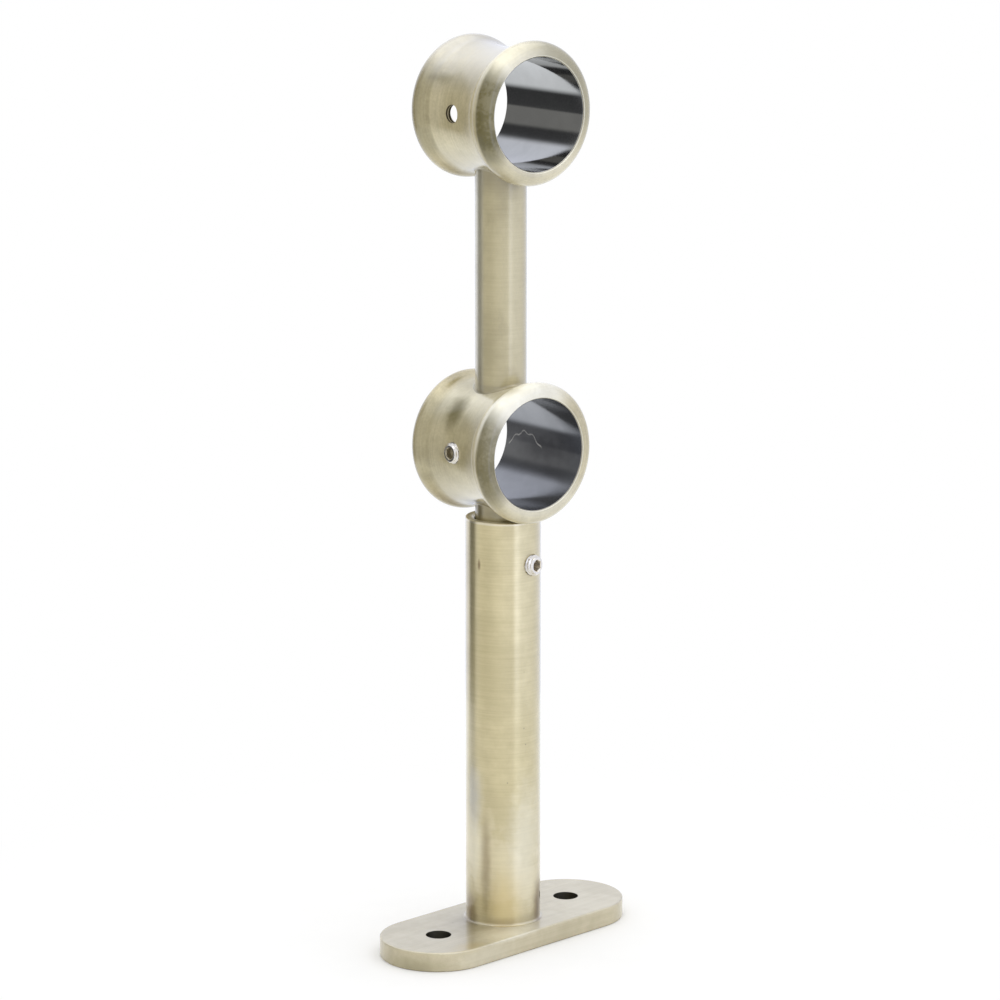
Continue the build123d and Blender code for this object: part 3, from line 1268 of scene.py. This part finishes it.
class Bracket:
    """All brass pieces, the two screws and the empty tapped hole."""

    def brass_pieces(self) -> list[BrassPiece]:
        """Lists the brass pieces.

        Returns:
            The six brass nodes with where each was brushed, stained and rubbed bright, and where highlights,
            reflections and shade are painted on.
        """
        tube_length = LAYOUT.tube_top - LAYOUT.plate_top
        rod_low = LAYOUT.lower_ring - LAYOUT.waist
        gap_low, gap_high = LAYOUT.lower_ring + LAYOUT.waist, LAYOUT.upper_ring - LAYOUT.waist
        drawn = AgedBrass(relieved=(0.545, 0.475, 0.275), toned=(0.43, 0.37, 0.205), roughness=0.52)
        cast = AgedBrass(relieved=(0.69, 0.604, 0.36), toned=(0.44, 0.378, 0.21), roughness=0.54, mottle=0.16)
        # the lower ring's bore skin is darker than the upper's: painted shade for the dimmer reflections in that bore
        dimmer = replace(cast, oxide=(0.25, 0.252, 0.255), bore_roughness=0.21)
        satin = AgedBrass(relieved=(0.63, 0.565, 0.385), toned=(0.49, 0.432, 0.28), roughness=0.56, anisotropy=0.6,
                          lines=4.5)
        left = LAYOUT.left()
        right = tuple(-c for c in left)
        high_right = (right[0] * 0.8, right[1] * 0.8, 0.6)
        high_left = (left[0] * 0.4, left[1] * 0.4, 0.917)
        return [
            BrassPiece(
                "base_plate", UP, (0.0, 0.0, 0.0), Grain.STRAIGHT, seed=0.3, finish=satin,
                holes_apart=LAYOUT.fixing_holes_apart,
                spots=(
                    Spot((-9.5, -10.0, 4.7), (12.0, 7.0, 1.6), RUBBED_AND_HIGHLIGHT, 0.75),
                    Spot((-23.0, -11.5, 4.7), (6.0, 4.0, 1.5), GOLDEN, 0.4),
                    Spot((-34.0, -4.5, 0.8), (9.0, 11.0, 4.0), OLIVE, 0.55),
                    Spot((-19.0, -13.9, 2.0), (13.0, 2.0, 4.0), RUBBED_AND_HIGHLIGHT, 0.2),
                ),
            ),
            BrassPiece(
                "outer_tube", UP, (0.0, 0.0, LAYOUT.plate_top), bore=LAYOUT.tube_bore, seed=0.9,
                stains_and_shade=(Band(-1.0, 0.1, 0.3, 0.3), Band(1.1, 1.6, 1.4, 0.3)),
                bright=(Band(0.15, 0.3, 0.12, 0.35), Band(2.5, 20.0, 14.0, 0.2),
                        Band(tube_length - 0.5, tube_length, 0.2, 0.4)),
                spots=(
                    Spot((-8.4, 3.2, 7.5), (3.2, 4.6, 7.5), HEAT_BROWN, 0.85),
                    Spot((3.6, -8.3, 8.5), (3.6, 3.0, 9.5), HEAT_BROWN, 0.95),
                    Spot((-6.0, -6.7, 10.0), (6.5, 6.5, 12.0), GOLDEN, 0.6),
                    Spot((-6.0, -6.7, 5.6), (6.5, 6.5, 1.7), HEAT_BROWN, 0.35),
                    Spot((-8.9, 1.0, 36.0), (2.2, 4.0, 12.0), ASHEN, 0.5),
                    Spot((-8.6, -2.7, 21.0), (1.5, 2.2, 17.0), HEAT_BROWN, 0.5),
                    Spot((-9.0, 0.8, 23.0), (3.0, 4.0, 12.0), PALE, 0.4),
                    Spot((-1.0, -8.9, 24.0), (7.0, 5.0, 22.0), PALE, 0.4),
                    Spot((-8.93, -0.92, 93.4), (0.55, 0.6, 1.9), HEAT_BROWN, 0.85),
                ),
            ),
            BrassPiece(
                "slide_rod", UP, LAYOUT.carrier(0.0), seed=2.1, finish=drawn,
                # the dark band where the rod meets the lower ring is partly stain and partly painted shade at the
                # joint
                stains_and_shade=(Band(rod_low - 0.6, rod_low + 4.0, 1.6, 0.4),),
            ),
            BrassPiece(
                "upper_rod", UP, LAYOUT.carrier(0.0), seed=3.4, finish=drawn,
                # the band under the upper ring, fading over 7 mm, is painted shade of the ring; the one above the
                # lower ring darkens that joint
                stains_and_shade=(Band(gap_low - 2.0, gap_low + 0.3, 0.8, 0.35), Band(gap_high + 0.2, gap_high + 3.0, 7.0, 0.5)),
                # a painted lighter reflection on the rod's left edge between the rings
                painted_light_patches=(Patch(gap_low, gap_high, (-0.82, 0.572, 0.0), PALE, 0.6, 2.0, 0.75),),
            ),
            BrassPiece(
                "lower_ring", LAYOUT.ring_axis(), LAYOUT.carrier(LAYOUT.lower_ring), bore=LAYOUT.bore, seed=4.7,
                finish=dimmer, scuff=(0.4, 13.0),
                # painted light on the lower ring: a painted highlight on the front bead's upper left, painted shade on
                # the left of the front bead, waist and back bead, and a paler waist top and undersides as painted
                # highlight and painted reflection of the floor
                painted_light_patches=(
                    Patch(-14.3, -9.5, high_left, RUBBED_AND_HIGHLIGHT, 0.85, reach=0.3),
                    Patch(-14.3, -12.0, left, dimmer.painted_shade, 0.85),
                    Patch(-14.3, -12.0, DOWN, PALE, 0.3, reach=0.3),
                    Patch(-7.0, 7.0, UP, PALE, 0.5, 3.0, 0.3),
                    Patch(-7.0, 7.0, left, dimmer.painted_shade, 0.2, 3.0, 0.3),
                    Patch(-7.0, 7.0, DOWN, PALE, 0.6, 3.0, 0.2),
                    Patch(8.5, 13.0, left, dimmer.painted_shade, 0.25),
                ),
                # painted shade on the top of the waist, by the rod
                spots=(Spot((-10.6, 4.3, 129.5), (4.7, 3.9, 11.0), dimmer.painted_shade, 0.8),),
                bore_spots=(Spot((12.6, -1.0, 118.5), (6.0, 16.0, 4.5), BORE_SHADE, 0.7),),
            ),
            BrassPiece(
                "upper_ring", LAYOUT.ring_axis(), LAYOUT.carrier(LAYOUT.upper_ring), bore=LAYOUT.bore, seed=5.9,
                finish=cast,
                # painted light on the upper ring: a painted highlight on the front bead's upper left, painted shade on
                # its left and right sides, a paler underside as painted reflection of the floor, greyed tops of the
                # waist and back bead as painted reflection of the ceiling, and painted shade on the back bead's left
                painted_light_patches=(
                    Patch(-14.3, -9.5, high_left, PALE, 0.5, reach=0.3),
                    Patch(-14.3, -11.8, left, cast.painted_shade, 1.0),
                    Patch(-14.3, -11.4, high_right, OLIVE, 0.85, reach=0.2),
                    Patch(-14.3, -12.0, DOWN, PALE, 0.25, reach=0.3),
                    Patch(-14.3, -12.2, right, OLIVE, 0.45, reach=0.5),
                    Patch(-7.0, 7.0, UP, PAINTED_REFLECTION_GREY, 0.75, 3.0, 0.2),
                    Patch(-7.0, 7.0, DOWN, PALE, 0.45, 3.0, 0.2),
                    Patch(8.0, 13.0, left, cast.painted_shade, 0.45),
                    Patch(8.0, 13.0, UP, PAINTED_REFLECTION_GREY, 0.7, reach=0.3),
                ),
                # painted shade on the back bead's upper left
                spots=(Spot((-12.6, 8.0, 208.2), (3.5, 6.0, 1.8), cast.painted_shade, 0.3),),
            ),
        ]

    def build(self) -> None:
        """Dresses the CAD nodes and adds the new pieces."""
        for piece in self.brass_pieces():
            piece.dress()
        # socket finishes: darker in the ring screw's socket as painted shade, lighter in the tube screw's as painted
        # light
        socket_shade = BrightNickel(plate=(0.46, 0.41, 0.29), tarnish=(0.24, 0.20, 0.11), roughness=0.5)
        socket_light = replace(socket_shade, plate=(0.78, 0.72, 0.60), tarnish=(0.52, 0.46, 0.34))
        nickel = BrightNickel().material("bright nickel")
        in_tube = tube_stand(LAYOUT.tube_screw_face)
        tube_screw = SetScrew("tube_screw_threaded", "tube_set_screw", Body.TUBE_SCREW, in_tube, length=5.0)
        tube_screw.build(nickel, socket_light.material("tube screw socket"))
        in_ring = ring_stand(LAYOUT.ring_screw_face, LAYOUT.lower_ring)
        ring_screw = SetScrew("ring_screw_threaded", "ring_set_screw", Body.RING_SCREW, in_ring, length=2.3,
                              cup_depth=0.4, socket_wall=0.35)
        ring_screw.build(nickel, socket_shade.material("ring screw socket"))
        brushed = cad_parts["upper_ring"].material_slots[0].material
        hole = ring_stand(0.0, LAYOUT.upper_ring)
        TappedHole(hole).build(CutThread().material(hole), brushed)


def main() -> None:
    logging.basicConfig(level=logging.INFO, format="%(name)s: %(message)s")
    bpy.context.scene.view_settings.view_transform = "Standard"
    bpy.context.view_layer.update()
    Bracket().build()
    Studio().build()
    bpy.context.view_layer.update()


if __name__ == "__main__":
    main()
